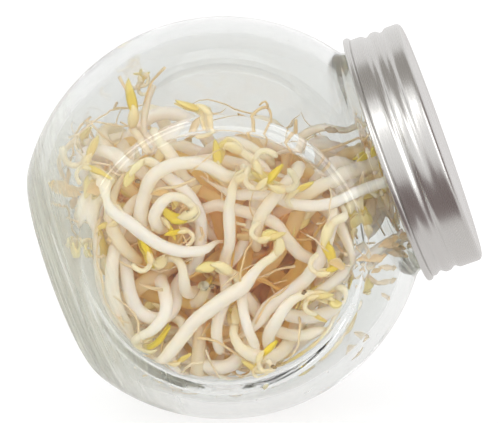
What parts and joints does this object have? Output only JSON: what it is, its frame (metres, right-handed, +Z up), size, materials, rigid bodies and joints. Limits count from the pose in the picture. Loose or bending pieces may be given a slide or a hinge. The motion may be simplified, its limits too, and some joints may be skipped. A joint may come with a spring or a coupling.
{
  "type": "jar of bean sprouts",
  "caption": "Ball-shaped glass jar with two flat windows and a metal screw lid, lying tilted on its belly, filled with mung bean sprouts.",
  "frame": {"origin": "middle of the small flat under the ball that the jar rests on", "axes": "+Z up; +X towards the lid, whose axis rises 20.1 degrees above +X; +Y from the front window to the back window"},
  "size_m": [0.09, 0.0592, 0.0786],
  "materials": {
    "jar_glass": "clear, faintly green where thick",
    "lid_metal": "satin, turned",
    "liner_foam": "matt foam",
    "sprout": "moist, slightly translucent"
  },
  "bodies": {
    "jar": {"glass_jar": "jar_glass", "sprout_fill_01": "sprout", "sprout_fill_02": "sprout", "sprout_fill_03": "sprout", "sprout_fill_04": "sprout", "sprout_fill_05": "sprout", "sprout_fill_06": "sprout", "sprout_fill_07": "sprout", "sprout_fill_08": "sprout", "sprout_fill_09": "sprout", "sprout_fill_10": "sprout", "sprout_fill_11": "sprout", "sprout_fill_12": "sprout", "sprout_fill_13": "sprout", "sprout_fill_14": "sprout", "sprout_fill_15": "sprout", "sprout_fill_16": "sprout", "sprout_fill_17": "sprout", "sprout_fill_18": "sprout", "sprout_fill_19": "sprout", "sprout_fill_20": "sprout", "sprout_fill_21": "sprout", "sprout_fill_22": "sprout", "sprout_fill_23": "sprout", "sprout_fill_24": "sprout", "sprout_fill_25": "sprout", "sprout_fill_26": "sprout", "sprout_fill_27": "sprout", "sprout_fill_28": "sprout", "sprout_fill_29": "sprout", "sprout_front_01_long_diagonal": "sprout", "sprout_front_02_middle_upright": "sprout", "sprout_front_03_left_u": "sprout", "sprout_front_04_left_diagonal": "sprout", "sprout_front_05_big_loop": "sprout", "sprout_front_06_centre_head": "sprout", "sprout_front_07_ring_head": "sprout", "sprout_front_08_low_hook": "sprout", "sprout_front_09_left_upright": "sprout", "sprout_front_10_far_left": "sprout", "sprout_front_11_lower_left": "sprout", "sprout_front_12_green_head": "sprout", "sprout_front_13_neck_runner": "sprout", "sprout_front_14_cross_band": "sprout", "sprout_front_15_second_upright": "sprout", "sprout_front_16_right_hook": "sprout", "sprout_front_17_rising_band": "sprout", "sprout_front_18_low_runner": "sprout", "sprout_front_19_white_tail": "sprout", "sprout_front_20_bottom_curve": "sprout", "sprout_front_21_bottom_left": "sprout", "sprout_front_22_bottom_bend": "sprout", "sprout_front_23_low_right": "sprout", "sprout_front_24_yellow_leaf": "sprout", "sprout_front_25_top_head": "sprout", "sprout_front_26_upper_left": "sprout", "sprout_front_27_tuft": "sprout"},
    "seal": {"lid_liner": "liner_foam"},
    "lid": {"metal_lid": "lid_metal"}
  },
  "joints": [
    {"name": "lid_lift", "type": "slide", "parent": "jar", "child": "seal", "axis": [0.9391, 0, 0.3437], "range_m": [0, 0.0038]},
    {"name": "lid_turn", "type": "hinge", "parent": "seal", "child": "lid", "pos_m": [0.03756, 0, 0.05245], "axis": [0.9391, 0, 0.3437], "range_deg": [0, 450]}
  ],
  "couplings": [
    {"joint": "lid_lift", "follows": "lid_turn", "m_per_rad": 0.00047746}
  ]
}
